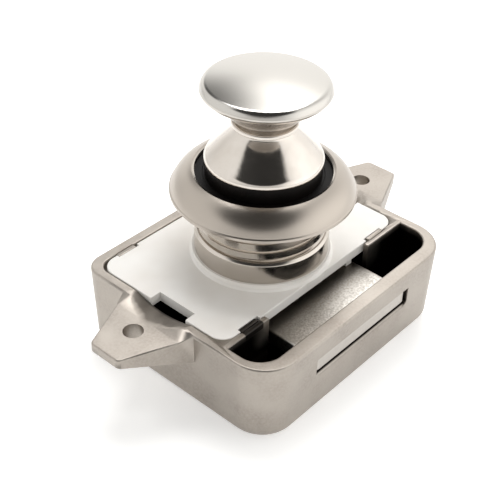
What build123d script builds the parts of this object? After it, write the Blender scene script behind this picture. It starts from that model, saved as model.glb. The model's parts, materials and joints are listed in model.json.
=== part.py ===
from build123d import *
import math
import os

# Push button cabinet lock, in millimetres.
# The origin is on the knob's axis, in the plane that lies against the back of the door.
# +Z runs along the knob towards the hand, X runs through the two screw ears,
# and the bolt leaves the front of the body along -Y.
# The knob is drawn out and the bolt drawn in, as the unlocked lock is photographed.

# General fits
slip_gap = 0.1
run_gap = 0.05
free_gap = 0.3
cut_over = 1.0

# Travel of the two moving pieces
knob_stroke = 15.0
bolt_throw = 8.0
bolt_recess = 0.6

# Body casting
body_half_width = 27.6
body_front = 25.9
body_rear = 20.9
body_depth = 17.3
body_draft_deg = 1.8
front_corner_radius = 7.5
rear_corner_radius = 4.0
base_edge_radius = 2.2
rim_edge_radius = 0.4
inner_edge_radius = 0.35
divider_edge_radius = 0.3
side_wall = 2.0
front_wall = 3.1
rear_wall = 2.3
floor_thickness = 1.8
inner_front_radius = 4.8
inner_rear_radius = 2.6
divider_front = 15.0
divider_thickness = 1.1
divider_gap_half = 14.8
pillar_side = 4.2

# Bolt slot in the front wall
slot_half_width = 13.9
slot_drop = 4.0
slot_height = 4.0
slot_corner = 0.45
slot_bevel = 0.45

# Screw ears
ear_reach = 40.5
ear_line = 0.4
ear_drop = 0.6
ear_ramp = 2.6
ear_tip_half = 3.5
ear_root_half = 9.0
ear_tip_thickness = 1.8
ear_root_thickness = 5.5
ear_corner_radius = 1.0
ear_edge_radius = 0.3
ear_hole_margin = 7.2
ear_hole_line = 0.7
ear_hole_radius = 1.9
scoop_radius = 21.0
scoop_depth = 1.4
scoop_length = 5.2
scoop_line = 1.0

# Lugs that are peened over the edge of the cover plate
lug_centre = 18.7
lug_length = 4.4
lug_reach = 0.85
lug_height = 1.1
lug_side_gap = 0.7
lug_edge_radius = 0.2
lug_groove_width = 0.3
lug_groove_depth = 0.4

# Cover plate
plate_thickness = 2.1
plate_gap = 0.2
plate_edge_radius = 0.2
plate_rear_radius = 3.4
plate_front_radius = 3.0
plate_notch_length = 8.9
plate_notch_depth = 2.4
boss_wall = 0.45
boss_foot = 0.5
boss_height = 1.3
rib_start = 11.0
rib_width = 1.7
rib_length = 5.0
rib_setback = 0.9
left_rib_setback = 3.2
left_rib_length = 2.5

# Collar tube
collar_radius = 13.0
collar_band = 4.5
collar_step = 0.4
collar_wall = 0.9
collar_top = 16.6
collar_bevel = 0.5
collar_flange = 0.3
collar_flange_thickness = 0.7
thread_step = 0.7
thread_depth = 0.4
thread_pitch = 2.0
thread_root_width = 0.3
thread_flank = 0.3

# Rosette
rosette_radius = 17.55
rosette_seat = 13.8
rosette_height = 4.8
rosette_rim_height = 0.9
rosette_step = 0.2
rosette_lip_radius = 12.9
rosette_lip_width = 0.5
rosette_bulge = 0.62

# Guide ring in the mouth of the rosette
ring_height = 1.0

# Knob cap
cap_radius = 12.03
cap_widest = 34.95
cap_crease = 36.3
cap_crease_radius = 11.3
cap_edge = 0.5
cap_dome = 0.75
cap_under = 0.7
cap_under_radius = 11.55
neck_radius = 5.65
neck_top = 29.9
neck_bottom = 28.6
stud_radius = 2.4
stud_end = 21.9

# Knob bell
bell_bottom = 20.6
bell_edge = 0.5
bell_roll = 0.9
bell_roll_drop = 0.55
bell_collar_height = 0.75
bell_flare = 1.9
bell_wall = 1.5
bell_web_height = 2.2
screw_place = 6.4
boss_radius = 1.7

# Nut and washer on the stud
washer_radius = 4.6
washer_thickness = 0.8
nut_sides = 6
nut_flats = 8.0
nut_height = 2.5

# Plunger
guide_gap = 0.08
guide_length = 3.0
guide_bottom = 14.5
plunger_relief = 0.2
plunger_skirt_wall = 1.7
plunger_web = 1.0
plunger_spigot_height = 0.5
stem_half_width = 3.7
stem_near = 0.7
stem_depth = 5.6
stem_tail = 1.6
track_half_width = 2.0
track_depth = 1.1
heart_height = 0.3
heart_lobe = 0.55
heart_spread = 0.5
heart_length = 1.9
heart_back = 1.0

# Screws that hold the plunger to the bell
screw_radius = 1.1
screw_head_radius = 2.1
screw_head_height = 1.2
screw_reach = 1.5
screw_room = 0.2
screw_slot = 0.6

# Cross pin, its clips and the cam fork
pin_radius = 1.25
pin_half_length = 6.8
pin_offset = 3.4
clip_radius = 2.1
clip_thickness = 0.45
clip_mouth = 1.4
fork_inner = 4.0
fork_sheet = 1.6
cheek_margin = 0.95
fork_web_sheet = 1.5
fork_web_front = 14.0
arm_drop = 0.5
arm_rise = 2.0
floor_gap = 0.4

# Latch bolt
bolt_half_width = 13.5
bolt_thickness = 3.2
bolt_lift = 0.5
bolt_tail = 7.0
bolt_arm_width = 3.9
bolt_arm_reach = 2.0
bolt_crown = 0.3
bolt_corner_radius = 0.8
bolt_nose_radius = 0.4

# Rivets between bolt and fork
rivet_radius = 1.2
rivet_head_radius = 1.9
rivet_head_height = 0.5
rivet_place = 3.6
rivet_line = 10.4

# Return spring
spring_radius = 2.6
spring_wire = 0.35
spring_turns = 16
spring_line = 3.4
cup_thickness = 0.4
cup_bore = 1.3

# Mechanism frame on the floor of the body
frame_side_gap = 5.6
frame_thickness = 1.2
frame_rear = 17.4
frame_hole_half = 7.2
frame_hole_front = 0.2
frame_hole_rear = 14.2
rail_inner = 9.4
rail_outer = 13.4
rail_rear = 2.5
tower_inner = 10.6
tower_sheet = 2.2
tower_front = 2.8
tower_rear = 8.5
seat_post_radius = 1.8
seat_post_height = 3.0
wire_post_half = 2.2
wire_post_front = 9.3
wire_post_rear = 13.2
wire_post_top = 1.8

# Latch wire and the leaf spring behind it
wire_radius = 0.5
wire_bend = 1.1
wire_line = 8.1
wire_tip = 5.8
wire_tip_z = 2.0
wire_pivot_rise = 3.5
wire_foot = 12.6
leaf_thickness = 0.2
leaf_half_width = 1.4
leaf_foot_rise = 1.7
leaf_bend_rise = 5.2
leaf_top_z = -3.0
leaf_lean = 0.2

# Levels and places that follow from the sizes above
inner_half_width = body_half_width - side_wall
inner_front = body_front - front_wall
inner_rear = body_rear - rear_wall
floor_top = floor_thickness - body_depth
divider_back = divider_front - divider_thickness
ear_hole_place = ear_reach - ear_hole_margin
collar_spigot_radius = collar_radius - collar_step
collar_flange_radius = collar_radius + collar_flange
thread_radius = collar_radius - thread_step
collar_bore_radius = thread_radius - collar_wall
guide_radius = collar_bore_radius - guide_gap
bell_radius = collar_bore_radius - free_gap
plunger_radius = bell_radius - plunger_relief
frame_half_width = inner_half_width - frame_side_gap
plate_bottom = -plate_thickness
flange_bottom = plate_bottom - collar_flange_thickness
frame_top = floor_top + frame_thickness
slot_top = -slot_drop
slot_bottom = slot_top - slot_height
bolt_bottom = slot_bottom + bolt_lift
bolt_top = bolt_bottom + bolt_thickness
slot_radius = pin_radius + slip_gap
cheek_radius = slot_radius + cheek_margin
pin_z = floor_top + floor_gap + cheek_radius + knob_stroke
stem_bottom = pin_z - stem_tail
stem_far = stem_near + stem_depth
cavity_top = bell_bottom - plunger_web + plunger_spigot_height
plunger_top = bell_bottom + plunger_web
skirt_inner = guide_radius - plunger_skirt_wall
bell_inner_radius = bell_radius - bell_wall
spigot_radius = bell_inner_radius - slip_gap
bell_web_bottom = neck_bottom - bell_collar_height - bell_web_height
fork_outer = fork_inner + fork_sheet
web_bottom = bolt_bottom - fork_web_sheet
wire_pivot_z = floor_top + wire_pivot_rise
rosette_top = rosette_seat + rosette_height
fork_web_rear = bolt_tail - free_gap


def block(x0, x1, y0, y1, z0, z1):
    """A box between two opposite corners."""
    centre = ((x0 + x1) / 2, (y0 + y1) / 2, (z0 + z1) / 2)
    return Pos(*centre) * Box(abs(x1 - x0), abs(y1 - y0), abs(z1 - z0))


def rod(radius, z0, z1, x=0, y=0):
    """A round bar along Z between two heights."""
    return Pos(x, y, (z0 + z1) / 2) * Cylinder(radius, abs(z1 - z0))


def cross_rod(radius, x0, x1, y, z):
    """A round bar along X."""
    bar = Rot(0, 90, 0) * Cylinder(radius, abs(x1 - x0))
    return Pos((x0 + x1) / 2, y, z) * bar


def turned(outline):
    """A solid of revolution about Z from a list of joined lines and arcs."""
    return revolve(make_face(Wire(outline)), Axis.Z)


def turned_points(points):
    """A solid of revolution from straight sides between (radius, height) points."""
    corners = [(radius, 0, height) for radius, height in points]
    return revolve(make_face(Wire(Polyline(*corners, close=True).edges())), Axis.Z)


def line(start, end):
    """One straight side of a turned outline."""
    return Line((start[0], 0, start[1]), (end[0], 0, end[1]))


def bow(start, middle, end):
    """One round side of a turned outline."""
    return ThreePointArc((start[0], 0, start[1]), (middle[0], 0, middle[1]), (end[0], 0, end[1]))


def curve(start, control, end):
    """One smooth side of a turned outline, drawn towards a control point."""
    points = [(radius, 0, height) for radius, height in (start, control, end)]
    return Bezier(*points)


def plan_face(half_width, front, rear, front_radius, rear_radius):
    """A rectangle in plan with its own corner radius at the front and at the rear."""
    face = Pos(0, (rear - front) / 2) * Rectangle(2 * half_width, rear + front)
    by_y = face.vertices().sort_by(Axis.Y)
    face = fillet(by_y[:2], front_radius)
    by_y = face.vertices().sort_by(Axis.Y)
    return fillet(by_y[-2:], rear_radius)


def edges_at(shape, height):
    """The edges of a shape that lie at one height."""
    return shape.edges().filter_by_position(Axis.Z, height - slip_gap, height + slip_gap)


def ear(side):
    """A triangular screw ear, thick where it leaves the wall and thin at its tip."""
    root = body_half_width - side_wall / 2
    bottom = -ear_drop - ear_root_thickness
    outline = Polyline(
        (root, ear_root_half),
        (body_half_width, ear_root_half),
        (ear_reach, ear_tip_half),
        (ear_reach, -ear_tip_half),
        (body_half_width, -ear_root_half),
        (root, -ear_root_half),
        close=True,
    )
    plan = make_face(outline)
    tips = plan.vertices().sort_by(Axis.X)[-2:]
    plan = fillet(tips, ear_corner_radius)
    slab = Pos(0, 0, -ear_drop) * extrude(plan, amount=-ear_root_thickness)
    slab = fillet(edges_at(slab, -ear_drop), ear_edge_radius)
    under = Polyline(
        (root, 0, -ear_drop),
        (ear_reach, 0, -ear_drop),
        (ear_reach, 0, -ear_drop - ear_tip_thickness),
        (body_half_width, 0, bottom),
        (root, 0, bottom),
        close=True,
    )
    ramp = Polyline(
        (root, 0, 0),
        (body_half_width, 0, 0),
        (body_half_width + ear_ramp, 0, -ear_drop),
        (body_half_width + ear_ramp, 0, -ear_drop - ear_edge_radius),
        (root, 0, -ear_drop - ear_edge_radius),
        close=True,
    )
    wedge = extrude(make_face(under), amount=ear_root_half + cut_over, both=True)
    rise = extrude(make_face(ramp), amount=ear_root_half + cut_over, both=True)
    shape = slab & wedge
    shape += extrude(plan, amount=-ear_drop - ear_edge_radius) & rise
    shape = Pos(0, ear_line, 0) * shape
    shape -= rod(ear_hole_radius, bottom - cut_over, cut_over, ear_hole_place, ear_hole_line)
    return shape if side > 0 else mirror(shape, Plane.YZ)


def scoop(side):
    """The sloping trough that runs from the ear's top down through the wall."""
    slope = math.degrees(math.atan2(scoop_depth - ear_drop, scoop_length))
    length = 2 * (scoop_length + side_wall)
    trough = Rot(0, 90, 0) * Cylinder(scoop_radius, length)
    trough = Pos(0, 0, scoop_radius) * trough
    trough = Pos(inner_half_width, scoop_line, -scoop_depth) * (Rot(0, -slope, 0) * trough)
    inside = inner_half_width - cut_over
    trough &= block(inside, ear_reach, -scoop_radius, scoop_radius, -body_depth, cut_over)
    return trough if side > 0 else mirror(trough, Plane.YZ)


def lug(side, face_y, towards):
    """A small lug of the casting that is bent over the plate's edge."""
    x0 = side * (lug_centre - lug_length / 2)
    x1 = side * (lug_centre + lug_length / 2)
    buried = face_y - towards * divider_thickness / 2
    shape = block(x0, x1, buried, face_y + towards * lug_reach, -lug_height, 0)
    return fillet(edges_at(shape, 0), lug_edge_radius)


def lug_groove(side, face_y, towards):
    """The shallow groove that parts a lug from the rim behind it."""
    half = lug_length / 2 + slip_gap
    x0 = side * (lug_centre - half)
    x1 = side * (lug_centre + half)
    return block(x0, x1, face_y - towards * lug_groove_width, face_y, -lug_groove_depth, cut_over)


def divider(side):
    """The low inner wall between the mechanism's chamber and the open front pocket."""
    outer = side * (inner_half_width + side_wall / 4)
    bottom = floor_top - floor_thickness / 4
    shape = block(side * divider_gap_half, outer, -divider_front, -divider_back, bottom, 0)
    return fillet(edges_at(shape, 0), divider_edge_radius)


def pillar(side, face_y, towards, top):
    """A square post in one corner of the mechanism's chamber."""
    inner = side * (inner_half_width - pillar_side)
    outer = side * (inner_half_width + side_wall / 4)
    bottom = floor_top - floor_thickness / 4
    buried = face_y - towards * divider_thickness / 4
    return block(inner, outer, buried, face_y + towards * pillar_side, bottom, top)


def body_casting():
    """The die-cast body: a drafted tray with ears, dividers, pillars and the bolt slot."""
    plan = plan_face(body_half_width, body_front, body_rear, front_corner_radius, rear_corner_radius)
    shape = extrude(plan, amount=body_depth, dir=(0, 0, -1), taper=body_draft_deg)
    shape = fillet(edges_at(shape, -body_depth), base_edge_radius)
    shape = fillet(edges_at(shape, 0), rim_edge_radius)
    hollow = plan_face(inner_half_width, inner_front, inner_rear, inner_front_radius, inner_rear_radius)
    cavity = extrude(hollow, amount=floor_top - cut_over)
    shape -= Pos(0, 0, cut_over) * cavity
    inner_reach = inner_half_width + slip_gap
    rim = edges_at(shape, 0).filter_by_position(Axis.X, -inner_reach, inner_reach)
    rim = rim.filter_by_position(Axis.Y, -inner_front - slip_gap, inner_rear + slip_gap)
    shape = fillet(rim, inner_edge_radius)
    front = divider_back
    rear = inner_rear
    plate_room = plan_face(inner_half_width, front, rear, plate_front_radius + plate_gap, plate_rear_radius + plate_gap)
    plate_room = extrude(plate_room, amount=plate_bottom)
    for side in (1, -1):
        shape += ear(side)
        shape += divider(side)
        shape += pillar(side, -front, 1, 0) - plate_room
        shape += pillar(side, rear, -1, plate_bottom)
        for face_y, towards in ((rear, -1), (-front, 1)):
            shape += lug(side, face_y, towards)
            shape -= lug_groove(side, face_y, towards)
        shape -= scoop(side)
    slot = block(
        -slot_half_width,
        slot_half_width,
        -body_front - cut_over,
        -inner_front + cut_over,
        slot_bottom,
        slot_top,
    )
    low_corners = slot.edges().filter_by(Axis.Y).sort_by(Axis.Z)[:2]
    shape -= chamfer(low_corners, slot_corner)
    mouth = shape.edges().filter_by_position(Axis.Z, slot_bottom - run_gap, slot_bottom + run_gap)
    mouth = mouth.filter_by(Axis.X).sort_by(Axis.Y)
    return chamfer(mouth[0], slot_bevel)


def cover_plate():
    """The white moulded plate that closes the mechanism chamber."""
    front = divider_back - plate_gap
    rear = inner_rear - plate_gap
    half = inner_half_width - plate_gap
    plan = plan_face(half, front, rear, plate_front_radius, plate_rear_radius)
    shape = extrude(plan, amount=plate_bottom)
    shape = fillet(edges_at(shape, 0), plate_edge_radius)
    boss = [
        (0, -plate_thickness / 2),
        (collar_radius + boss_wall + boss_foot, -plate_thickness / 2),
        (collar_radius + boss_wall + boss_foot, 0),
        (collar_radius + boss_wall, boss_foot),
        (collar_radius + boss_wall, boss_height),
        (0, boss_height),
    ]
    shape += turned_points(boss)
    shape -= rod(collar_spigot_radius + run_gap, plate_bottom - cut_over, boss_height + cut_over)
    for side in (1, -1):
        inner = side * (half - plate_notch_depth)
        outer = side * (half + cut_over)
        notch_half = plate_notch_length / 2
        shape -= block(inner, outer, -notch_half, notch_half, plate_bottom - cut_over, cut_over)
        x0 = side * (lug_centre - lug_length / 2 - lug_side_gap)
        x1 = side * (lug_centre + lug_length / 2 + slip_gap)
        depth = -lug_height - slip_gap
        rear_ledge = inner_rear - lug_reach - slip_gap
        front_ledge = lug_reach + slip_gap - divider_back
        shape -= block(x0, x1, rear_ledge, rear + cut_over, depth, cut_over)
        shape -= block(x0, x1, -front - cut_over, front_ledge, depth, cut_over)
    rib_bottom = bolt_top + slip_gap
    rib_top = plate_bottom + plate_thickness / 4
    flange_room = rod(collar_flange_radius + slip_gap, flange_bottom - slip_gap, plate_bottom)
    right_front = rib_setback - front
    left_front = left_rib_setback - front
    ribs = block(rib_start, rib_start + rib_width, right_front, right_front + rib_length, rib_bottom, rib_top)
    ribs += block(-rib_start - rib_width, -rib_start, left_front, left_front + left_rib_length, rib_bottom, rib_top)
    return shape + (ribs - flange_room)


def collar_tube():
    """The threaded metal tube that passes through the door."""
    band_top = boss_height + collar_band
    outline = [
        (collar_bore_radius, flange_bottom),
        (collar_flange_radius, flange_bottom),
        (collar_flange_radius, plate_bottom),
        (collar_spigot_radius, plate_bottom),
        (collar_spigot_radius, boss_height),
        (collar_radius, boss_height),
        (collar_radius, band_top - collar_bevel),
        (collar_radius - collar_bevel, band_top),
        (thread_radius, band_top),
        (thread_radius, collar_top),
        (collar_bore_radius, collar_top),
    ]
    shape = turned_points(outline)
    turns = math.ceil((collar_top - band_top) / thread_pitch)
    for turn in range(turns):
        low = band_top + turn * thread_pitch
        groove = [
            (thread_radius - thread_depth, low),
            (thread_radius + cut_over, low),
            (thread_radius + cut_over, low + thread_root_width + thread_flank),
            (thread_radius, low + thread_root_width + thread_flank),
            (thread_radius - thread_depth, low + thread_root_width),
        ]
        shape -= turned_points(groove)
    return shape


def rosette():
    """The domed ring nut that clamps the door from the front."""
    bore = thread_radius + run_gap
    shoulder = (rosette_radius - rosette_step, rosette_seat + rosette_rim_height)
    crest = (rosette_lip_radius + rosette_lip_width, rosette_top)
    middle = ((shoulder[0] + crest[0]) / 2, (shoulder[1] + crest[1]) / 2)
    bulge = rosette_bulge / math.sqrt(2)
    outline = [
        line((bore, rosette_seat), (rosette_radius - rosette_step, rosette_seat)),
        line((rosette_radius - rosette_step, rosette_seat), (rosette_radius, rosette_seat + rosette_step)),
        line((rosette_radius, rosette_seat + rosette_step), (rosette_radius, shoulder[1] - rosette_step)),
        line((rosette_radius, shoulder[1] - rosette_step), shoulder),
        bow(shoulder, (middle[0] + bulge, middle[1] + bulge), crest),
        line(crest, (rosette_lip_radius, rosette_top - rosette_lip_width / 2)),
        line((rosette_lip_radius, rosette_top - rosette_lip_width / 2), (rosette_lip_radius, collar_top)),
        line((rosette_lip_radius, collar_top), (bore, collar_top)),
        line((bore, collar_top), (bore, rosette_seat)),
    ]
    return turned(outline)


def guide_ring():
    """The black moulded ring that guides the knob in the rosette's mouth."""
    outer = rosette_lip_radius - slip_gap
    top = collar_top + ring_height
    return rod(outer, collar_top, top) - rod(collar_bore_radius, collar_top - cut_over, top + cut_over)


def knob_cap():
    """The domed button with its neck and the stud below it."""
    apex = (0, cap_crease + cap_dome)
    crease = (cap_crease_radius, cap_crease)
    top_rim = (cap_crease_radius - cap_edge, cap_crease + 2 * cap_edge * cap_dome / cap_crease_radius)
    widest = (cap_radius, cap_widest)
    band = math.hypot(widest[0] - crease[0], crease[1] - widest[1])
    share = cap_edge / band
    side_rim = (crease[0] + share * (widest[0] - crease[0]), crease[1] + share * (widest[1] - crease[1]))
    low_rim = (cap_under_radius, cap_widest - cap_under)
    collar = (neck_radius, neck_top)
    hollow = ((low_rim[0] + collar[0]) / 2, (low_rim[1] + collar[1]) / 2 + cap_under / 2)
    outline = [
        line((0, stud_end), (stud_radius, stud_end)),
        line((stud_radius, stud_end), (stud_radius, neck_bottom)),
        line((stud_radius, neck_bottom), (neck_radius, neck_bottom)),
        line((neck_radius, neck_bottom), collar),
        bow(collar, hollow, low_rim),
        curve(low_rim, (cap_radius, low_rim[1] + cap_under / 4), widest),
        line(widest, side_rim),
        curve(side_rim, crease, top_rim),
        curve(top_rim, (top_rim[0] / 2, apex[1]), apex),
        line(apex, (0, stud_end)),
    ]
    return turned(outline)


def knob_bell():
    """The polished bell below the button, hollow underneath, with two screw bosses."""
    collar_low = neck_bottom - bell_collar_height
    foot = (bell_radius, bell_bottom + bell_edge)
    roll = (bell_radius - bell_roll_drop, bell_bottom + bell_edge + bell_roll)
    roll_mid = (bell_radius - bell_roll_drop / 4, bell_bottom + bell_edge + bell_roll / 2)
    flare = (neck_radius + bell_flare / 2, collar_low - bell_flare)
    flare_mid = (neck_radius + bell_flare / 8, collar_low - bell_flare / 2)
    inner_foot = (bell_inner_radius, bell_bottom)
    inner_roll = (bell_inner_radius, bell_bottom + bell_edge + bell_roll)
    inner_top = (neck_radius, bell_web_bottom)
    bore = stud_radius + run_gap
    outline = [
        line((bore, neck_bottom), (neck_radius, neck_bottom)),
        line((neck_radius, neck_bottom), (neck_radius, collar_low)),
        bow((neck_radius, collar_low), flare_mid, flare),
        line(flare, roll),
        bow(roll, roll_mid, foot),
        line(foot, (bell_radius, bell_bottom)),
        line((bell_radius, bell_bottom), inner_foot),
        line(inner_foot, inner_roll),
        line(inner_roll, inner_top),
        line(inner_top, (bore, bell_web_bottom)),
        line((bore, bell_web_bottom), (bore, neck_bottom)),
    ]
    shape = turned(outline)
    envelope = turned_points([(0, plunger_top), inner_roll, flare, (0, flare[1])])
    for side in (1, -1):
        boss = rod(boss_radius, plunger_top, bell_web_bottom, side * screw_place)
        shape += boss & envelope
        hole_end = plunger_top + screw_reach + screw_room
        shape -= rod(screw_radius, plunger_top - cut_over, hole_end, side * screw_place)
    return shape


def knob_washer():
    """The washer between the nut and the bell's web."""
    top = bell_web_bottom
    bottom = top - washer_thickness
    return rod(washer_radius, bottom, top) - rod(stud_radius + slip_gap, bottom - cut_over, top + cut_over)


def knob_nut():
    """The hexagon nut that holds cap and bell together."""
    top = bell_web_bottom - washer_thickness
    corner = nut_flats / 2 / math.cos(math.pi / nut_sides)
    shape = Pos(0, 0, top - nut_height) * extrude(RegularPolygon(corner, nut_sides), amount=nut_height)
    return shape - rod(stud_radius + run_gap, top - nut_height - cut_over, top + cut_over)


def heart():
    """The heart-shaped island in the plunger's track, seen from the rear, notch up."""
    rest_z = wire_tip_z + knob_stroke - heart_back
    lobes = [Pos(side * heart_spread, rest_z - heart_lobe) * Circle(heart_lobe) for side in (1, -1)]
    wide = heart_spread + heart_lobe
    point = make_face(
        Polyline((-wide, rest_z - heart_lobe), (0, rest_z - heart_length), (wide, rest_z - heart_lobe), close=True)
    )
    flat = lobes[0] + lobes[1] + point
    upright = Rot(90, 0, 0) * extrude(flat, amount=heart_height + slip_gap)
    track_floor = stem_far - track_depth
    return Pos(0, track_floor + heart_height, 0) * upright


def plunger():
    """The black moulded plunger: a guided cup with a stem that carries the cross pin."""
    outline = [
        (0, cavity_top),
        (skirt_inner, cavity_top),
        (skirt_inner, guide_bottom),
        (guide_radius, guide_bottom),
        (guide_radius, guide_bottom + guide_length),
        (plunger_radius, guide_bottom + guide_length),
        (plunger_radius, bell_bottom),
        (spigot_radius, bell_bottom),
        (spigot_radius, plunger_top),
        (0, plunger_top),
    ]
    shape = turned_points(outline)
    stem_top = (cavity_top + plunger_top) / 2
    shape += block(-stem_half_width, stem_half_width, stem_near, stem_far, stem_bottom, stem_top)
    track_top = wire_tip_z + knob_stroke + track_half_width
    shape -= block(
        -track_half_width,
        track_half_width,
        stem_far - track_depth,
        stem_far + cut_over,
        stem_bottom - cut_over,
        track_top,
    )
    shape += heart()
    shape -= cross_rod(pin_radius, -stem_half_width - cut_over, stem_half_width + cut_over, pin_offset, pin_z)
    for side in (1, -1):
        shape -= rod(screw_radius + slip_gap, cavity_top - cut_over, plunger_top + cut_over, side * screw_place)
    return shape


def plunger_screws():
    """Two pan head screws, from inside the plunger up into the bell."""
    screws = []
    for side in (1, -1):
        head = rod(screw_head_radius, cavity_top - screw_head_height, cavity_top, side * screw_place)
        head = fillet(head.edges().sort_by(Axis.Z)[0], screw_slot)
        shank = rod(screw_radius, cavity_top - slip_gap, plunger_top + screw_reach, side * screw_place)
        drive = block(
            side * screw_place - screw_head_radius,
            side * screw_place + screw_head_radius,
            -screw_slot / 2,
            screw_slot / 2,
            cavity_top - screw_head_height - cut_over,
            cavity_top - screw_head_height + screw_slot,
        )
        screws.append(head + shank - drive)
    return Compound(children=screws)


def cross_pin():
    """The steel pin through the stem that drives the cam fork."""
    pin = cross_rod(pin_radius, -pin_half_length, pin_half_length, pin_offset, pin_z)
    return chamfer(pin.edges().filter_by(GeomType.CIRCLE), slip_gap)


def pin_clips():
    """Two open clips on the ends of the cross pin."""
    clips = []
    for side in (1, -1):
        near = side * (fork_outer + free_gap)
        far = near + side * clip_thickness
        clip = cross_rod(clip_radius, near, far, pin_offset, pin_z)
        clip -= cross_rod(pin_radius + run_gap, near - side * cut_over, far + side * cut_over, pin_offset, pin_z)
        clip -= block(
            near - side * cut_over,
            far + side * cut_over,
            pin_offset - clip_mouth / 2,
            pin_offset + clip_mouth / 2,
            pin_z,
            pin_z + clip_radius + cut_over,
        )
        clips.append(clip)
    return Compound(children=clips)


def slanted_bar(radius, x0, x1):
    """A round-ended bar along the line that the cross pin follows through the fork."""
    bottom_z = pin_z - knob_stroke
    bottom_y = pin_offset + bolt_throw
    length = math.hypot(knob_stroke, bolt_throw)
    tilt = math.degrees(math.atan2(bolt_throw, knob_stroke))
    shape = cross_rod(radius, x0, x1, pin_offset, pin_z)
    shape += cross_rod(radius, x0, x1, bottom_y, bottom_z)
    middle = Box(abs(x1 - x0), 2 * radius, length)
    middle = Rot(tilt, 0, 0) * middle
    shape += Pos((x0 + x1) / 2, (pin_offset + bottom_y) / 2, (pin_z + bottom_z) / 2) * middle
    return shape


def cam_fork():
    """The steel fork whose slanted slots turn the pin's travel into the bolt's."""
    shape = block(-fork_outer, fork_outer, -fork_web_front, -fork_web_rear, web_bottom, bolt_bottom)
    arm_front = -fork_web_rear - fork_sheet
    arm_rear = pin_offset + bolt_throw * (pin_z - bolt_bottom) / knob_stroke
    for side in (1, -1):
        x0 = side * fork_inner
        x1 = side * fork_outer
        shape += block(x0, x1, arm_front, arm_rear, web_bottom - arm_drop, bolt_bottom)
        shape += block(x0, x1, -fork_web_rear, arm_rear, web_bottom - arm_drop, bolt_bottom + arm_rise)
        shape += slanted_bar(cheek_radius, x0, x1)
    for side in (1, -1):
        x0 = side * (fork_inner - cut_over)
        x1 = side * (fork_outer + cut_over)
        shape -= slanted_bar(slot_radius, x0, x1)
        hole_x = side * rivet_place
        shape -= rod(rivet_radius + run_gap, web_bottom - cut_over, bolt_bottom + cut_over, hole_x, -rivet_line)
    return shape


def latch_bolt():
    """The flat bolt with a slightly crowned top."""
    nose = bolt_recess - body_front
    tail = -bolt_tail
    middle = (nose + tail) / 2
    side_view = [
        Line((0, nose, bolt_bottom), (0, tail, bolt_bottom)),
        Line((0, tail, bolt_bottom), (0, tail, bolt_top - bolt_crown)),
        ThreePointArc((0, tail, bolt_top - bolt_crown), (0, middle, bolt_top), (0, nose, bolt_top - bolt_crown)),
        Line((0, nose, bolt_top - bolt_crown), (0, nose, bolt_bottom)),
    ]
    shape = extrude(make_face(Wire(side_view)), amount=bolt_half_width, dir=(1, 0, 0), both=True)
    corners = shape.edges().filter_by(Axis.Z).sort_by(Axis.Y)[:2]
    shape = fillet(corners, bolt_corner_radius)
    nose_edges = shape.edges().filter_by(Axis.X).sort_by(Axis.Y)[:2]
    shape = fillet(nose_edges, bolt_nose_radius)
    sink = bolt_top - bolt_crown - rivet_head_height
    for side in (1, -1):
        outer = side * bolt_half_width
        inner = side * (bolt_half_width - bolt_arm_width)
        shape += block(inner, outer, tail - cut_over, bolt_arm_reach, bolt_bottom, bolt_top - bolt_crown)
        x = side * rivet_place
        shape -= rod(rivet_radius + run_gap, bolt_bottom - cut_over, bolt_top + cut_over, x, -rivet_line)
        shape -= rod(rivet_head_radius + slip_gap, sink, bolt_top + cut_over, x, -rivet_line)
    return shape


def fork_rivets():
    """Two rivets that join the bolt to the fork."""
    rivets = []
    top_head = bolt_top - bolt_crown - rivet_head_height
    for side in (1, -1):
        x = side * rivet_place
        rivet = rod(rivet_radius, web_bottom - rivet_head_height / 2, top_head + rivet_head_height / 2, x, -rivet_line)
        rivet += rod(rivet_head_radius, web_bottom - rivet_head_height, web_bottom, x, -rivet_line)
        rivet += rod(rivet_head_radius, top_head, top_head + rivet_head_height, x, -rivet_line)
        rivets.append(rivet)
    return Compound(children=rivets)


def helix_arcs(radius, bottom, top, turns, quarter=4):
    """Round arcs in pairs, each pair a quarter turn of a helix about Z."""
    steps = turns * quarter
    rise = (top - bottom) / steps
    swing = 2 * math.pi / quarter
    edges = []
    for step in range(steps):
        ends = []
        for index in (step, step + 1):
            angle = index * swing
            place = Vector(radius * math.cos(angle), radius * math.sin(angle), bottom + index * rise)
            heading = Vector(-radius * math.sin(angle) * swing, radius * math.cos(angle) * swing, rise).normalized()
            ends.append((place, heading))
        (p0, t0), (p1, t1) = ends
        chord = p1 - p0
        along = chord.dot(t0 + t1)
        spread = 2 * (1 - t0.dot(t1))
        reach = (math.sqrt(along * along + spread * chord.dot(chord)) - along) / spread
        joint = (p0 + t0 * reach + p1 - t1 * reach) * 0.5
        edges.append(TangentArc(p0, joint, tangent=t0))
        edges.append(TangentArc(joint, p1, tangent=(p1 - t1 * reach) - (p0 + t0 * reach)))
    return edges


def least_gap(path, turns, wire, samples=48):
    """The smallest clear distance between one turn of a wire and another, measured on points."""
    count = turns * samples
    points = [path.position_at(index / count) for index in range(count + 1)]
    nearest = min(
        (points[i] - points[j]).length
        for i in range(0, count, samples // 4)
        for j in range(i + samples // 2, min(i + 2 * samples, count) + 1)
    )
    return nearest - 2 * wire


def return_spring():
    """The coil spring that pushes the knob out, one unbroken wire."""
    bottom = frame_top + spring_wire + run_gap
    top = cavity_top - cup_thickness - spring_wire - run_gap
    path = Wire(helix_arcs(spring_radius, bottom, top, spring_turns))
    section = Plane(path @ 0, z_dir=path % 0) * Circle(spring_wire)
    coil = sweep(section, path=path)
    print("return spring least gap to itself in mm", round(least_gap(path, spring_turns, spring_wire), 3))
    return Pos(0, -spring_line, 0) * coil


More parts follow.
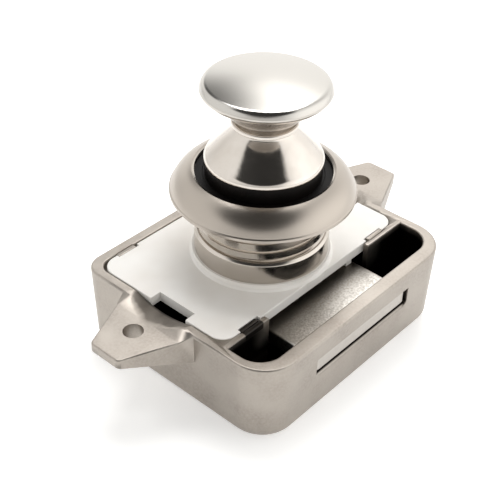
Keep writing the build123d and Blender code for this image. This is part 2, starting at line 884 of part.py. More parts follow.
def spring_cup():
    """The steel washer between the spring and the plunger."""
    bottom = cavity_top - cup_thickness
    outer = spring_radius + spring_wire + slip_gap
    cup = rod(outer, bottom, cavity_top, 0, -spring_line)
    return cup - rod(cup_bore, bottom - cut_over, cavity_top + cut_over, 0, -spring_line)


def mechanism_frame():
    """The moulded frame on the floor: bolt rails, spring seat, flange towers and wire post."""
    front = divider_back - plate_gap
    shape = block(-frame_half_width, frame_half_width, -front, frame_rear, floor_top, frame_top)
    shape -= block(
        -frame_hole_half,
        frame_hole_half,
        frame_hole_front,
        frame_hole_rear,
        floor_top - cut_over,
        frame_top + cut_over,
    )
    base = (floor_top + frame_top) / 2
    for side in (1, -1):
        shape += block(side * rail_inner, side * rail_outer, -front, rail_rear, base, bolt_bottom - slip_gap)
        inner = side * tower_inner
        outer = side * (tower_inner + tower_sheet)
        shape += block(inner, outer, tower_front, tower_rear, base, flange_bottom)
    shape += rod(seat_post_radius, base, frame_top + seat_post_height, 0, -spring_line)
    shape += block(-wire_post_half, wire_post_half, wire_post_front, frame_rear, floor_top, frame_top)
    post_top = wire_pivot_z + wire_post_top
    shape += block(-wire_post_half, wire_post_half, wire_post_front, wire_post_rear, base, post_top)
    pivot = Rot(90, 0, 0) * Cylinder(wire_radius + run_gap, wire_post_rear - wire_post_front + 2 * cut_over)
    shape -= Pos(0, (wire_post_front + wire_post_rear) / 2, wire_pivot_z) * pivot
    return shape


def latch_wire():
    """The bent wire whose tip runs in the heart-shaped track."""
    route = FilletPolyline(
        (0, wire_tip, wire_tip_z),
        (0, wire_line, wire_tip_z),
        (0, wire_line, wire_pivot_z),
        (0, wire_foot, wire_pivot_z),
        radius=wire_bend,
    )
    path = Wire(route.edges())
    section = Plane(path @ 0, z_dir=path % 0) * Circle(wire_radius)
    return sweep(section, path=path)


def wire_leaf():
    """The thin leaf spring that keeps the wire in its track."""
    back = wire_post_front
    foot = floor_top + leaf_foot_rise
    bend = floor_top + leaf_bend_rise
    front_top = back - leaf_lean
    side_view = Polyline(
        (0, back, foot),
        (0, back, bend),
        (0, front_top, leaf_top_z),
        (0, front_top - leaf_thickness, leaf_top_z),
        (0, back - leaf_thickness, bend),
        (0, back - leaf_thickness, foot),
        close=True,
    )
    shape = extrude(make_face(side_view), amount=leaf_half_width, dir=(1, 0, 0), both=True)
    hole = Rot(90, 0, 0) * Cylinder(wire_radius + free_gap, 2 * cut_over)
    return shape - Pos(0, back, wire_pivot_z) * hole


pieces = {
    "body_casting": body_casting,
    "cover_plate": cover_plate,
    "mechanism_frame": mechanism_frame,
    "collar_tube": collar_tube,
    "rosette": rosette,
    "guide_ring": guide_ring,
    "knob_cap": knob_cap,
    "knob_bell": knob_bell,
    "knob_washer": knob_washer,
    "knob_nut": knob_nut,
    "plunger": plunger,
    "plunger_screws": plunger_screws,
    "cross_pin": cross_pin,
    "pin_clips": pin_clips,
    "spring_cup": spring_cup,
    "return_spring": return_spring,
    "latch_bolt": latch_bolt,
    "cam_fork": cam_fork,
    "fork_rivets": fork_rivets,
    "latch_wire": latch_wire,
    "wire_leaf": wire_leaf,
}

os.makedirs("parts", exist_ok=True)
for name, make in pieces.items():
    export_step(make(), "parts/" + name + ".step")
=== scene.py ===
# %% [markdown]
# # A push button cabinet lock
#
# The lock is a die-cast zinc tray with a white cover plate, a threaded collar,
# a domed ring nut and a nickel knob. The solid model gives every size and place,
# and this file gives each visible surface its finish. Five pieces are made again
# here: the cast body with softer slopes, the turned button, bell and collar with
# their fine lines and edges, and the spring as a copy with a mesh of its own.

import json
import math

import bmesh
import bpy
from mathutils import Matrix, Vector


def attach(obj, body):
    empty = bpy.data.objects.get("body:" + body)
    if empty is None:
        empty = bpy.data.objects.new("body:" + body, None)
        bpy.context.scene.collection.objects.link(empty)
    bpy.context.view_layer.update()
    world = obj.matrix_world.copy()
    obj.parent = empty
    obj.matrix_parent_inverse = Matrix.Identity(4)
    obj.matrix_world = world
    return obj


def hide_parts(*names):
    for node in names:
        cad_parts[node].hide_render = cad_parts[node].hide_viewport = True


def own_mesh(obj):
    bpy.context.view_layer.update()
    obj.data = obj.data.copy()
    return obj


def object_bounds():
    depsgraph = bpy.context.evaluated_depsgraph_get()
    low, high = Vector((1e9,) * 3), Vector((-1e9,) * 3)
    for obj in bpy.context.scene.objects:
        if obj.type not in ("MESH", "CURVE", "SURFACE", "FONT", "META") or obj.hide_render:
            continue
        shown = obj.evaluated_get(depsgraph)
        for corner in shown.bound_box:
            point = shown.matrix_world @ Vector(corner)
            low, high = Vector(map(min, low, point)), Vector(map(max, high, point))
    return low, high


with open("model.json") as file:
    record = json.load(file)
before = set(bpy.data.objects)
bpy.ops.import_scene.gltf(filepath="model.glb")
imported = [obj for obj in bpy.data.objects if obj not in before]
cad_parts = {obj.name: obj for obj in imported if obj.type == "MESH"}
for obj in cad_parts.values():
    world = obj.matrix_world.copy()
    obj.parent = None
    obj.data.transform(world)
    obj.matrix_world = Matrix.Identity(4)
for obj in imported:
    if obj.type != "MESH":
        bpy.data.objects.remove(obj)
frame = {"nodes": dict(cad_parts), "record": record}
solid_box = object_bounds()
nodes = frame["nodes"]
print("loaded", len(nodes), "solids")

# %% [markdown]
# ## Camera
#
# The photograph looks down at the lock from its left front corner. The place, the
# lens and the small roll were found by fitting known circles of the collar and the
# ring nut to the picture, so the camera is set from numbers and not by eye.

# %% Place the camera
mm = 0.001
camera_distance = 201.158


def view_axes(azimuth, elevation, roll):
    """The camera's right, up and back directions."""
    turn, tilt, lean = (math.radians(angle) for angle in (azimuth, elevation, roll))
    back = Vector((math.sin(turn) * math.cos(tilt), -math.cos(turn) * math.cos(tilt), math.sin(tilt)))
    right = Vector((math.cos(turn), math.sin(turn), 0))
    up = back.cross(right)
    rolled_right = right * math.cos(lean) + up * math.sin(lean)
    rolled_up = up * math.cos(lean) - right * math.sin(lean)
    return rolled_right, rolled_up, back


right, up, back = view_axes(azimuth=-49.036, elevation=37.295, roll=1.485)
target = Vector((-2.181, 0.928, 0)) * mm
camera = bpy.data.objects.new("camera", bpy.data.cameras.new("camera"))
camera.data.sensor_fit = "HORIZONTAL"
camera.data.sensor_width = 36
camera.data.lens = 74.6
camera.data.clip_start = 0.005
camera_turn = Matrix((right, up, back)).transposed().to_4x4()
camera.matrix_world = Matrix.Translation(target + back * camera_distance * mm) @ camera_turn
bpy.context.scene.collection.objects.link(camera)
bpy.context.scene.camera = camera
print("camera at", [round(value, 4) for value in camera.matrix_world.translation])

# %% [markdown]
# ## Materials
#
# Every finish starts from the real one: how it was made decides its colour, its
# gloss and the marks that the eye can find on it. Three small helpers serve them
# all: cloudy values, a colour that wanders between two tones, and a fine relief.

# %% Helpers for the materials


def linear(hex_colour):
    """An sRGB hex colour as the linear values that the shader works in."""
    values = [int(hex_colour[index : index + 2], 16) / 255 for index in (1, 3, 5)]
    return [*(v / 12.92 if v <= 0.04045 else ((v + 0.055) / 1.055) ** 2.4 for v in values), 1]


def add_node(tree, kind, inputs=None, **settings):
    """One node with its settings and its links or values."""
    node = tree.nodes.new(kind)
    for name, value in settings.items():
        setattr(node, name, value)
    for name, value in (inputs or {}).items():
        if isinstance(value, bpy.types.NodeSocket):
            tree.links.new(value, node.inputs[name])
        else:
            node.inputs[name].default_value = value
    return node


def new_material(name, **shader_values):
    """A material with one shader, and its object coordinates to draw patterns with."""
    material = bpy.data.materials.new(name)
    material.use_nodes = True
    tree = material.node_tree
    shader = tree.nodes["Principled BSDF"]
    for socket, value in shader_values.items():
        shader.inputs[socket.replace("_", " ")].default_value = value
    place = add_node(tree, "ShaderNodeTexCoord").outputs["Object"]
    return material, tree, shader, place


def cloudy_values(tree, place, size, low=0.0, high=1.0, detail=4):
    """Values that wander from low to high, in clouds about one size across."""
    pattern = {"Vector": place, "Scale": 1 / size, "Detail": detail}
    clouds = add_node(tree, "ShaderNodeTexNoise", pattern).outputs["Fac"]
    spread = {"Value": clouds, "From Min": 0.3, "From Max": 0.7, "To Min": low, "To Max": high}
    return add_node(tree, "ShaderNodeMapRange", spread).outputs["Result"]


def cloudy_colour(tree, place, size, dark, light, detail=4):
    """A colour that wanders between two tones, each a hex colour or a socket."""
    share = cloudy_values(tree, place, size, detail=detail)
    dark, light = (linear(tone) if isinstance(tone, str) else tone for tone in (dark, light))
    return add_node(tree, "ShaderNodeMix", {0: share, 6: dark, 7: light}, data_type="RGBA").outputs[2]


def fine_relief(tree, shader, place, size, depth, detail=3):
    """Small bumps about one size across, which bend the light but not the outline."""
    height = cloudy_values(tree, place, size, detail=detail)
    bump = add_node(tree, "ShaderNodeBump", {"Height": height, "Strength": 0.5, "Distance": depth})
    tree.links.new(bump.outputs["Normal"], shader.inputs["Normal"])


# %% [markdown]
# ### Raw zinc
#
# The body is die-cast zinc that was tumbled to take its flash off and then left
# bare. Tumbling leaves a dull, slightly cloudy grey with a warm tone and shallow
# pits. Real pits are a tenth or two of a millimetre across, too fine to show, so
# they are drawn at about 0.5 mm. The inside of the tray lies in deep shade, and a
# painted shade makes it much darker. The material knows the inside by its place:
# within the walls and below the rim. The same painted shade sits in the bolt's slot
# and round the lug at the left front. The ends of the two dividers beside the bolt
# stand free in the light, so the painted shade is lighter there. Each of these
# spots is a box with a soft edge.

# %% Helpers for spots of painted shade


def flat_and_height(tree, place):
    """A place as seen from above, and its height."""
    parts = add_node(tree, "ShaderNodeSeparateXYZ", {0: place}).outputs
    flat = add_node(tree, "ShaderNodeCombineXYZ", {"X": parts["X"], "Y": parts["Y"]})
    return flat.outputs[0], parts["Z"]


def beyond_box(tree, place, centre, half_size):
    """The distance from a box whose centre and half size are given in mm."""
    for operation, other in (
        ("SUBTRACT", Vector(centre) * mm),
        ("ABSOLUTE", (0, 0, 0)),
        ("SUBTRACT", Vector(half_size) * mm),
        ("MAXIMUM", (0, 0, 0)),
    ):
        step = {0: place, 1: other}
        place = add_node(tree, "ShaderNodeVectorMath", step, operation=operation).outputs[0]
    return add_node(tree, "ShaderNodeVectorMath", {0: place}, operation="LENGTH").outputs["Value"]


# %% Zinc
raw_zinc, tree, shader, place = new_material("tumbled_raw_zinc", Metallic=1.0)
skin = cloudy_colour(tree, place, 0.5 * mm, "#958e86", "#a79f97", detail=5)
skin = cloudy_colour(tree, place, 6 * mm, skin, "#ada69e", detail=5)
flat, height = flat_and_height(tree, place)
divider_end = (0.8, 0.3, 1.6)
from_middle = beyond_box(tree, flat, centre=(0, -2.1, 0), half_size=(20.8, 15.9, 0))
# Boxes at the divider ends, where the painted shade is lighter.
from_right_divider = beyond_box(tree, place, centre=(15.4, -14.8, -1.6), half_size=divider_end)
from_left_divider = beyond_box(tree, place, centre=(-15.4, -14.8, -1.6), half_size=divider_end)
# Boxes where painted shade darkens the bolt's slot and the zinc round the lug at the left front.
from_slot = beyond_box(tree, place, centre=(0, -22.5, -6), half_size=(13.95, 2.9, 2))
from_lug = beyond_box(tree, place, centre=(-18.7, -13.9, -0.5), half_size=(2.3, 1.1, 0.8))

# Each row: what is measured, where its soft edge starts and ends in mm, the share of
# painted shade that counts at the start and at the end, and how that joins what is there.
# Painted shade: near black inside the tray below the rim, lighter at the divider ends, and in the
# slot and round the lug.
painted_shade = 1.0
for value, start, end, at_start, at_end, operation in (
    (from_middle, 5.4, 4.9, 0.0, 1.0, "MULTIPLY"),
    (height, -0.3, -1.6, 0.0, 1.0, "MULTIPLY"),
    (from_right_divider, 3.2, 0.0, 1.0, 0.4, "MULTIPLY"),
    (from_left_divider, 3.2, 0.0, 1.0, 0.4, "MULTIPLY"),
    (from_slot, 0.2, 0.0, 0.0, 0.9, "MAXIMUM"),
    (from_lug, 0.2, 0.0, 0.0, 0.9, "MAXIMUM"),
):
    edge = {"Value": value, "From Min": start * mm, "From Max": end * mm}
    edge |= {"To Min": at_start, "To Max": at_end}
    both = {0: painted_shade, 1: add_node(tree, "ShaderNodeMapRange", edge).outputs["Result"]}
    painted_shade = add_node(tree, "ShaderNodeMath", both, operation=operation).outputs[0]
# The painted shade turns the zinc skin near black.
shaded_skin = {0: painted_shade, 6: skin, 7: linear("#15110e")}
shaded_skin = add_node(tree, "ShaderNodeMix", shaded_skin, data_type="RGBA").outputs[2]
tree.links.new(shaded_skin, shader.inputs["Base Color"])
tree.links.new(cloudy_values(tree, place, 3 * mm, 0.36, 0.46), shader.inputs["Roughness"])
fine_relief(tree, shader, place, 0.6 * mm, 0.008 * mm)
print(raw_zinc.name, "has", len(tree.nodes), "nodes")

# %% [markdown]
# ### Moulded plastics
#
# The cover plate is white plastic straight from the mould. It is a little warm, and
# its surface copies the mould's fine spark texture. Real spark marks are about
# 0.1 mm across, too fine to show, so they are drawn at about 0.5 mm. The black guide
# ring, plunger and inner frame are dull, greasy plastic of the same kind.

# %% Plastics
white_plastic, tree, shader, place = new_material("moulded_white_plastic", Roughness=0.42)
white = cloudy_colour(tree, place, 9 * mm, "#efebe5", "#f8f6f2", detail=2)
tree.links.new(white, shader.inputs["Base Color"])
fine_relief(tree, shader, place, 0.5 * mm, 0.008 * mm)

black_plastic, tree, shader, place = new_material(
    "moulded_black_plastic", Roughness=0.5, Specular_IOR_Level=0.15
)
black = cloudy_colour(tree, place, 3 * mm, "#060403", "#0f0a08")
tree.links.new(black, shader.inputs["Base Color"])
fine_relief(tree, shader, place, 0.4 * mm, 0.01 * mm)
print(white_plastic.name, "and", black_plastic.name)

# %% [markdown]
# ### Satin nickel
#
# Button, collar and ring nut are brass, turned, blasted with fine beads and nickel
# plated, which gives a soft warm shine. The ring nut was blasted more coarsely. Hands
# keep the top of the button bright. On the hollow cone under the button's rim, a
# painted shade darkens the nickel where the rim casts its shadow.
# The tool leaves turning lines that are too fine for the picture, so they are drawn
# coarser and very shallow, by distance from the axis and by height.

# %% Helpers for turned and worn metal


def turned_place(tree, place):
    """Distance from the axis, height, and both as coordinates that run in rings."""
    flat, height = flat_and_height(tree, place)
    radius = add_node(tree, "ShaderNodeVectorMath", {0: flat}, operation="LENGTH").outputs["Value"]
    rings = add_node(tree, "ShaderNodeCombineXYZ", {"X": radius, "Z": height}).outputs[0]
    return radius, height, rings


def toned(tree, colour, tone, *edges):
    """A colour that turns to a hex tone past every edge: a value, its start and end in mm."""
    share = 1.0
    for value, start, end in edges:
        edge = {"Value": value, "From Min": start * mm, "From Max": end * mm}
        both = {0: share, 1: add_node(tree, "ShaderNodeMapRange", edge).outputs["Result"]}
        share = add_node(tree, "ShaderNodeMath", both, operation="MULTIPLY").outputs[0]
    mixed = {0: share, 6: colour, 7: linear(tone)}
    return add_node(tree, "ShaderNodeMix", mixed, data_type="RGBA").outputs[2]


# %% Satin nickel
rim_bottom = 34.3
collar_side = 13.05
nut_side = 13.2
satin_nickel, tree, shader, place = new_material("satin_nickel_plating", Metallic=1.0)
radius, height, rings = turned_place(tree, place)
nickel = cloudy_colour(tree, place, 5 * mm, "#c0b9b0", "#c8c1b9")
# The top that hands touch, the ring nut outside the collar, and painted shade on the hollow cone
# under the rim.
nickel = toned(tree, nickel, "#c3c0bb", (height, rim_bottom, 35.5))
nickel = toned(tree, nickel, "#b0a89f", (radius, collar_side, nut_side))
# Painted shade under the button's rim, fading out above the neck.
nickel = toned(tree, nickel, "#8d857d", (height, rim_bottom, 33.6), (height, 30.2, 31.2))
tree.links.new(nickel, shader.inputs["Base Color"])
dullness = {"Value": radius, "From Min": collar_side * mm, "From Max": nut_side * mm}
dullness |= {"To Min": 0.18, "To Max": 0.3}
dullness = add_node(tree, "ShaderNodeMapRange", dullness).outputs["Result"]
tree.links.new(dullness, shader.inputs["Roughness"])
fine_relief(tree, shader, rings, 0.5 * mm, 0.0008 * mm)
print(satin_nickel.name, "has", len(tree.nodes), "nodes")

# %% [markdown]
# ### Polished nickel
#
# The bell below the button was polished by hand before it was plated. So it mirrors
# the room, and it has low waves instead of turning lines.

# %% Polished nickel
polished_nickel, tree, shader, place = new_material("polished_nickel_plating", Metallic=1.0)
nickel = cloudy_colour(tree, place, 5 * mm, "#cbc4bc", "#d6d0c9")
tree.links.new(nickel, shader.inputs["Base Color"])
tree.links.new(cloudy_values(tree, place, 2 * mm, 0.1, 0.15), shader.inputs["Roughness"])
fine_relief(tree, shader, place, 4 * mm, 0.03 * mm)
print(polished_nickel.name, "has", len(tree.nodes), "nodes")

# %% [markdown]
# ### Steel
#
# The bolt is pressed from sheet steel with a thin zinc coat. Its top shows the
# sheet's grain as fine dark and light specks. They are drawn at 0.35 mm, a little
# coarser than real ones, because finer ones don't show. A painted shade makes the
# bolt darker towards the back, where it runs in under the cover plate, and its nose
# is rubbed by the keeper. Pins, screws, spring and fork inside are plain bright steel.

# %% Steel
grained_steel, tree, shader, place = new_material("grained_zinc_plated_steel", Metallic=1.0)
worn = cloudy_colour(tree, place, 6 * mm, "#c8c3bc", "#efece7")
steel = cloudy_colour(tree, place, 0.35 * mm, "#a8a39c", worn)
depth = add_node(tree, "ShaderNodeSeparateXYZ", {0: place}).outputs["Y"]
# Painted shade towards the back, under the edge of the cover plate.
steel = toned(tree, steel, "#7d776f", (depth, -20, -13))
steel = toned(tree, steel, "#b9b4ae", (depth, -24.6, -25.1))
tree.links.new(steel, shader.inputs["Base Color"])
tree.links.new(cloudy_values(tree, place, 0.5 * mm, 0.34, 0.48), shader.inputs["Roughness"])
fine_relief(tree, shader, place, 0.35 * mm, 0.006 * mm)

plain_steel, tree, shader, place = new_material("bright_steel", Metallic=1.0)
steel = cloudy_colour(tree, place, 2 * mm, "#a8a8a8", "#bdbdbd")
tree.links.new(steel, shader.inputs["Base Color"])
tree.links.new(cloudy_values(tree, place, 2 * mm, 0.25, 0.38), shader.inputs["Roughness"])
print(grained_steel.name, "and", plain_steel.name)

# %% [markdown]
# ### A finish for every solid
#
# The record of the solid model says which finish each piece has.

# %% Give the solids their finishes
finishes = {
    "raw_zinc": raw_zinc,
    "white_plastic": white_plastic,
    "black_plastic": black_plastic,
    "satin_nickel": satin_nickel,
    "polished_nickel": polished_nickel,
    "grained_steel": grained_steel,
    "plain_steel": plain_steel,
}
for entry in frame["record"]["subparts"]:
    solid = nodes[entry["node"]]
    solid.data.materials.clear()
    solid.data.materials.append(finishes[entry["material_slot"]])
print("finishes:", ", ".join(finishes))

# %% [markdown]
# ## Pieces that are made again
#
# A solid comes as loose triangles with hard corners, which is enough for most pieces.
# A new piece stands for a solid where more shows. It has the same place, rides on the
# same body and takes the same finish. Corners closer than the weld distance become
# one, and an edge stays sharp where its faces turn by more than the sharp angle, in
# degrees. The normals are worked out again, because a spin can turn faces inwards.

# %% Helpers that copy a solid and finish every new piece
weld = 0.001 * mm
sharp_angle = 28


def merged_copy(node):
    """A bmesh copy of a solid's mesh, with its doubled corners merged."""
    shape = bmesh.new()
    shape.from_mesh(nodes[node].data)
    bmesh.ops.transform(shape, matrix=nodes[node].matrix_world, verts=shape.verts)
    bmesh.ops.remove_doubles(shape, verts=shape.verts, dist=weld)
    return shape


def finish_piece(name, shape, body, node, slot):
    """A bmesh made into a piece that stands for a solid and takes its finish."""
    bmesh.ops.recalc_face_normals(shape, faces=shape.faces)
    mesh = bpy.data.meshes.new(name)
    shape.to_mesh(mesh)
    shape.free()
    mesh.shade_smooth()
    mesh.set_sharp_from_angle(angle=math.radians(sharp_angle))
    mesh.materials.append(finishes[slot])
    piece = bpy.data.objects.new(name, mesh)
    bpy.context.scene.collection.objects.link(piece)
    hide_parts(node)
    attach(piece, body)
    print(name, "has", len(mesh.polygons), "faces and replaces", node)
    return piece


# %% [markdown]
# ### Body
#
# A die casting has no sharp change of slope where the scoop runs out on the ear: the
# metal flows from one face into the next. The solid model has a crisp edge there. So
# the body is copied, its doubled corners are merged, and only real edges stay sharp.
# Large faces keep their own slope and the narrow faces between them take up the turn.

# %% Cast body with soft slopes
cast_body = finish_piece(
    "cast_body", merged_copy("body_casting"), "lock_body", "body_casting", "raw_zinc"
)
soft_slopes = cast_body.modifiers.new("soft slopes", "WEIGHTED_NORMAL")
soft_slopes.keep_sharp = True

# %% [markdown]
# ### Return spring
#
# The return spring stands in the frame below the knob, and it shortens by the
# knob's stroke when the knob goes in. Here it is copied into a piece with a mesh of its own.

# %% Spring copied with a mesh of its own
coil = merged_copy("return_spring")
spring = finish_piece("pressure_spring", coil, "lock_body", "return_spring", "plain_steel")
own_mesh(spring)

# %% [markdown]
# ### Turned pieces
#
# A lathe makes a piece by turning one outline about an axis, and so does Blender's
# spin. Each outline is a closed row of corners, given as radius and height. A corner
# that the tool or the polishing wheel rounded gets its radius as a third number,
# and the ring of edges there is bevelled by it after the spin. Where a surface curves,
# the outline follows a bend that leans towards a control point.

# %% Helpers for turned pieces
spin_steps = 160
same_place = 1e-7


def ring_edges(shape, radius, height):
    """The ring of edges at one corner of the outline."""
    def on_corner(vert):
        beside = abs(vert.co.xy.length - radius * mm)
        above = abs(vert.co.z - height * mm)
        return beside < same_place and above < same_place

    return [edge for edge in shape.edges if all(on_corner(vert) for vert in edge.verts)]


def turned_shape(outline):
    """A closed outline of (radius, height, rounding) corners turned about the axis, in mm."""
    shape = bmesh.new()
    corners = [shape.verts.new((corner[0] * mm, 0, corner[1] * mm)) for corner in outline]
    sides = [shape.edges.new(pair) for pair in zip(corners, corners[1:] + corners[:1])]
    bmesh.ops.spin(
        shape,
        geom=corners + sides,
        cent=(0, 0, 0),
        axis=(0, 0, 1),
        angle=math.tau,
        steps=spin_steps,
        use_merge=True,
    )
    bmesh.ops.remove_doubles(shape, verts=shape.verts, dist=weld)
    for radius, height, rounding in outline:
        if rounding:
            bmesh.ops.bevel(
                shape,
                geom=ring_edges(shape, radius, height),
                offset=rounding * mm,
                affect="EDGES",
                segments=4,
                profile=0.5,
                material=-1,
            )
    return shape


def bend(start, control, end, count):
    """Corners along a smooth bend from start to end, drawn towards a control point."""
    corners = []
    for index in range(1, count):
        t = index / count
        radius, height = (
            (1 - t) ** 2 * a + 2 * t * (1 - t) * b + t * t * c
            for a, b, c in zip(start, control, end)
        )
        corners.append((radius, height, 0))
    return corners


# %% [markdown]
# #### Button
#
# The button is a flat dome with a fine crease round it, a narrow band that leans
# out to the widest ring, and a hollow cone that runs down to the neck. The neck
# narrows towards the bell and has three thin cut lines round it.

# %% Cut lines of the neck
neck = 5.65
neck_top = (6.6, 29.95)
neck_bottom = 28.6
line_width = 0.12
line_depth = 0.14
cut_lines = []
for share in (0.2, 0.5, 0.8):
    outer = neck_top[0] + share * (neck - neck_top[0])
    inner = outer - line_depth
    upper = neck_top[1] + share * (neck_bottom - neck_top[1]) + line_width / 2
    lower = upper - line_width
    cut_lines += [(outer, upper, 0), (inner, upper, 0), (inner, lower, 0), (outer, lower, 0)]
print("neck has", len(cut_lines) // 4, "cut lines")

# %% Turn the button
dome_top = (0, 37.05)
dome_control = (5.65, 37.05)
crease = (11.3, 36.3)
widest = (12.03, 34.95)
under = (11.55, 34.25)
cone_control = (7.9, 31.6)
stud = 2.4
stud_end = 21.9
button = [
    (*dome_top, 0),
    *bend(dome_top, dome_control, crease, 14),
    (*crease, 0.55),
    (*widest, 0.3),
    (*under, 0.3),
    *bend(under, cone_control, neck_top, 12),
    (*neck_top, 0),
    *cut_lines,
    (neck, neck_bottom, 0),
    (stud, neck_bottom, 0),
    (stud, stud_end, 0),
    (0, stud_end, 0),
]
finish_piece("button", turned_shape(button), "knob", "knob_cap", "satin_nickel")

# %% [markdown]
# #### Bell
#
# The bell is a thin polished shell. A rounded bead lies against the neck. Below it the
# wall draws in to a waist, flares into a cone and rolls over into an upright foot.

# %% Turn the bell
bead = 6.2
bead_bottom = 27.85
waist = (5.3, 27.6)
waist_control = (5.3, 27.25)
flare = (5.5, 27.05)
flare_control = (8.2, 24.6)
roll = (10.5, 22.05)
roll_control = (10.95, 21.65)
foot = (11.1, 21.15)
bell_bottom = 20.6
inner_wall = 9.6
shoulder = 5.65
web_bottom = 25.65
bell_bore = 2.45
bell = [
    (bell_bore, neck_bottom, 0),
    (bead, neck_bottom, 0.3),
    (bead, bead_bottom, 0.2),
    (*waist, 0.1),
    *bend(waist, waist_control, flare, 4),
    (*flare, 0),
    *bend(flare, flare_control, roll, 8),
    (*roll, 0),
    *bend(roll, roll_control, foot, 6),
    (*foot, 0),
    (foot[0], bell_bottom, 0.18),
    (inner_wall, bell_bottom, 0),
    (inner_wall, roll[1], 0),
    (shoulder, web_bottom, 0),
    (bell_bore, web_bottom, 0),
]
finish_piece("bell", turned_shape(bell), "knob", "knob_bell", "polished_nickel")

# %% [markdown]
# #### Collar
#
# The collar is one tube: a flange below the cover plate, a plain band that fills the
# bore in the door, and a thread for the ring nut. The flange and the band are turned
# first, in one outline.

# %% Turn the flange and the band
bore = 11.4
flange = 13.3
flange_bottom = -2.8
flange_top = -2.1
tube = 12.6
band = 13.0
band_bottom = 1.3
band_top = 5.8
band_slope = 0.5
collar_outline = [
    (bore, flange_bottom, 0),
    (flange, flange_bottom, 0.1),
    (flange, flange_top, 0),
    (tube, flange_top, 0),
    (tube, band_bottom, 0),
    (band, band_bottom, 0),
    (band, band_top - band_slope, 0.1),
    (band - band_slope, band_top, 0.1),
    (bore, band_top, 0),
]
collar = turned_shape(collar_outline)
print("collar without its thread has", len(collar.faces), "faces")

# %% [markdown]
# #### Thread
#
# A thread is a groove that climbs as it goes round, so its profile is spun with a
# small lift at each step. The spun skin is then cut level at both ends, and it starts
# a little inside the band, so no gap can show there.

# %% Cut the thread
crest = 12.3
root = 11.9
collar_top = 16.6
pitch = 2.0
root_width = 0.3
flank = 0.25
thread_start = 3.24
thread_turns = 8
overlap = 0.1
profile = [
    (crest, 0),
    (crest, pitch - root_width - 2 * flank),
    (root, pitch - root_width - flank),
    (root, pitch - flank),
    (crest, pitch),
]
thread = bmesh.new()
corners = [thread.verts.new((radius * mm, 0, (thread_start + rise) * mm)) for radius, rise in profile]
sides = [thread.edges.new(pair) for pair in zip(corners, corners[1:])]
bmesh.ops.spin(
    thread,
    geom=corners + sides,
    cent=(0, 0, 0),
    axis=(0, 0, 1),
    dvec=(0, 0, pitch * mm / spin_steps),
    angle=math.tau * thread_turns,
    steps=spin_steps * thread_turns,
)
bmesh.ops.remove_doubles(thread, verts=thread.verts, dist=weld)
for cut_height, outward in ((band_top - overlap, -1), (collar_top, 1)):
    bmesh.ops.bisect_plane(
        thread,
        geom=thread.verts[:] + thread.edges[:] + thread.faces[:],
        plane_co=(0, 0, cut_height * mm),
        plane_no=(0, 0, outward),
        clear_outer=True,
    )
print("thread skin has", len(thread.faces), "faces")

# %% [markdown]
# The two cut rims are drawn in to the bore and joined by its wall, which makes the
# thread a closed ring. Then it joins the flange and the band in one mesh.

# %% Close the thread and join it to the collar
rims = [edge for edge in thread.edges if edge.is_boundary]
closed = bmesh.ops.extrude_edge_only(thread, edges=rims)["geom"]
inner_verts = [item for item in closed if isinstance(item, bmesh.types.BMVert)]
for vert in inner_verts:
    vert.co.xy = vert.co.xy.normalized() * bore * mm
inner_rims = [item for item in closed if isinstance(item, bmesh.types.BMEdge) and item.is_boundary]
bmesh.ops.bridge_loops(thread, edges=inner_rims)
print("thread open edges:", sum(edge.is_boundary for edge in thread.edges))
thread_mesh = bpy.data.meshes.new("thread")
thread.to_mesh(thread_mesh)
thread.free()
collar.from_mesh(thread_mesh)
finish_piece("threaded_collar", collar, "lock_body", "collar_tube", "satin_nickel")

# %% [markdown]
# ## Table
#
# The lock lies on a white table that is lit evenly and much brighter than the metal.
# The table is a flat square just below the lowest point of the lock. It glows a
# little by itself, which also fills the shadows under the ears.

# %% Table
floor_half_size = 3
floor_height = solid_box[0][2] - 0.01 * mm
floor_mesh = bmesh.new()
bmesh.ops.create_grid(floor_mesh, x_segments=1, y_segments=1, size=floor_half_size)
bmesh.ops.translate(floor_mesh, verts=floor_mesh.verts, vec=(0, 0, floor_height))
floor = bpy.data.objects.new("floor", bpy.data.meshes.new("floor"))
floor_mesh.to_mesh(floor.data)
floor_mesh.free()
bpy.context.scene.collection.objects.link(floor)
white_table, tree, shader, place = new_material(
    "white_table",
    Roughness=0.9,
    Base_Color=linear("#f8f8f7"),
    Emission_Color=linear("#ffffff"),
    Emission_Strength=0.4,
)
floor.data.materials.append(white_table)
print("table at height", round(floor_height, 5))

# %% [markdown]
# ## Light
#
# The lock's mirror-like pieces show what the room was like. It is a white room. A
# sheet behind the lock is brightest near the table, and there are bright walls at the
# left and, brighter, at the right. A small strong lamp shines on the button from
# behind, with a dark gap at its left. The room is dark high above the camera, which
# is what the middle of the polished bell shows. Each place in the room is given as
# degrees to the right of the camera and degrees above the table.

# %% Directions in the room
bpy.context.scene.view_settings.view_transform = "Standard"
level_right = Vector((right.x, right.y, 0)).normalized()
level_back = Vector((back.x, back.y, 0)).normalized()
upwards = Vector((0, 0, 1))


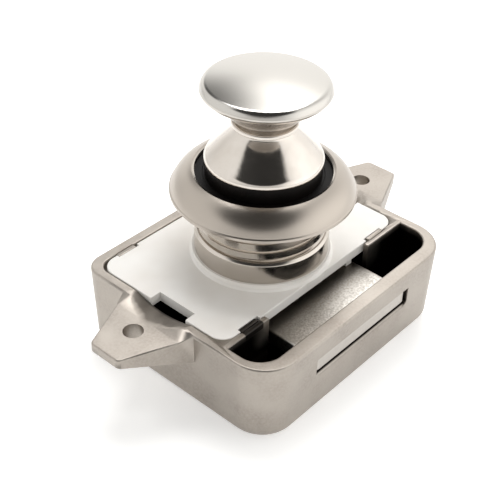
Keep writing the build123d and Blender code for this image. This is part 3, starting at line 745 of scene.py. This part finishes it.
def towards(side, rise):
    """A direction from the lock, as degrees right of the camera and degrees upwards."""
    turn, tilt = math.radians(side), math.radians(rise)
    level = level_back * math.cos(turn) + level_right * math.sin(turn)
    return level * math.cos(tilt) + upwards * math.sin(tilt)


# %% White room
world = bpy.data.worlds.new("white_room")
world.use_nodes = True
bpy.context.scene.world = world
tree = world.node_tree
direction = add_node(tree, "ShaderNodeTexCoord").outputs["Generated"]

# Each row: where a patch of the room is, how far from its middle it starts to fade and
# where it ends in degrees, how it joins the room, and its strength in the middle.
room = 0.84
unchanged = {"ADD": 0, "MULTIPLY": 1}
for side, rise, inner, outer, operation, strength in (
    (180, 8, 14, 55, "ADD", 0.65),
    (-85, 30, 15, 60, "ADD", 0.3),
    (85, 5, 15, 65, "ADD", 0.9),
    (181, 45, 6, 17, "ADD", 1.9),
    (-159, 40, 9, 22, "MULTIPLY", 0.05),
    (-6, 65, 33, 41, "MULTIPLY", 0.05),
):
    aim = {0: direction, 1: towards(side, rise)}
    near = add_node(tree, "ShaderNodeVectorMath", aim, operation="DOT_PRODUCT").outputs["Value"]
    fade = {"Value": near, "To Min": unchanged[operation], "To Max": strength}
    fade |= {"From Min": math.cos(math.radians(outer)), "From Max": math.cos(math.radians(inner))}
    patch = add_node(tree, "ShaderNodeMapRange", fade, interpolation_type="SMOOTHSTEP")
    both = {0: room, 1: patch.outputs["Result"]}
    room = add_node(tree, "ShaderNodeMath", both, operation=operation).outputs[0]
background = tree.nodes["Background"]
background.inputs["Color"].default_value = linear("#fffefc")
tree.links.new(room, background.inputs["Strength"])
print("room has", len(tree.nodes), "nodes")

# %% [markdown]
# A soft box hangs high behind the lock. It brightens the table and the tops of the
# pieces, and its broad light keeps the shadows soft.

# %% Soft box
soft_box_distance = 0.55
soft_box = bpy.data.objects.new("soft_box", bpy.data.lights.new("soft_box", "AREA"))
soft_box.data.shape = "RECTANGLE"
soft_box.data.size = 0.34
soft_box.data.size_y = 0.26
soft_box.data.energy = 1.4
soft_box.location = soft_box_distance * towards(180, 68)
soft_box.rotation_euler = soft_box.location.to_track_quat("Z", "Y").to_euler()
bpy.context.scene.collection.objects.link(soft_box)
print("soft box", round(soft_box.location.length, 3), "m from the lock")
